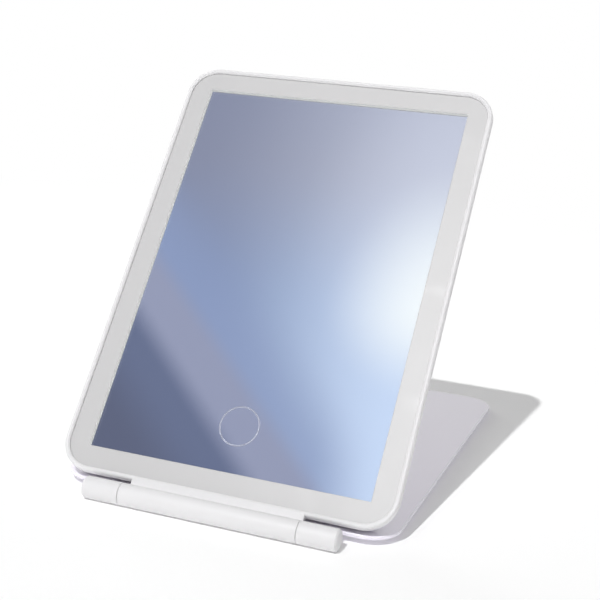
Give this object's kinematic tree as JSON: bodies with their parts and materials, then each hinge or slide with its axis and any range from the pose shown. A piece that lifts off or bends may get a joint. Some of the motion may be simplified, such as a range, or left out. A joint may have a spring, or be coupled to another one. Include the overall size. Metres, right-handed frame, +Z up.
{
  "type": "led travel mirror",
  "caption": "Tablet-shaped travel mirror with a frosted light border and a touch ring, hinged to a flat cover that folds behind it as a stand.",
  "frame": {"origin": "on the table, in the middle of the object's footprint", "axes": "+X along the hinge, +Y from the hinge towards the cover's free end, +Z up"},
  "size_m": [0.1592, 0.2356, 0.1847],
  "materials": {
    "shell_white": "satin moulded white",
    "cover_white": "matte white with a faint lavender cast",
    "foot_rubber": "soft clear grey",
    "pin_steel": "plain",
    "clear_glass": "clear over the silvering, frosted round the border",
    "silvering": "mirror",
    "foam_tape": "matte",
    "milky_plastic": "milky",
    "tray_white": "matte white",
    "light_strip": "matte",
    "conductive_foam": "matte",
    "circuit_board": "satin",
    "socket_steel": "plain",
    "battery_foil": "foil"
  },
  "bodies": {
    "cover": {"cover": "cover_white", "foot_front_left": "foot_rubber", "foot_front_right": "foot_rubber", "foot_rear_left": "foot_rubber", "foot_rear_right": "foot_rubber", "hinge_pin_left": "pin_steel", "hinge_pin_right": "pin_steel"},
    "panel": {"front_frame": "shell_white", "rear_shell": "shell_white", "mirror_glass": "clear_glass", "mirror_film": "silvering", "mirror_tape": "foam_tape", "diffuser": "milky_plastic", "light_tray": "tray_white", "light_strip_left": "light_strip", "light_strip_right": "light_strip", "light_strip_bottom": "light_strip", "light_strip_top": "light_strip", "touch_pad": "conductive_foam", "touch_board": "circuit_board", "control_board": "circuit_board", "charge_socket": "socket_steel", "battery": "battery_foil", "battery_tape": "foam_tape", "board_screw_lower": "pin_steel", "board_screw_upper": "pin_steel", "friction_sleeve_left": "pin_steel", "friction_sleeve_right": "pin_steel"}
  },
  "joints": [
    {"name": "panel_fold", "type": "hinge", "parent": "cover", "child": "panel", "pos_m": [0, -0.1128, 0.005], "axis": [1, 0, 0], "range_deg": [0, 306.9]}
  ]
}
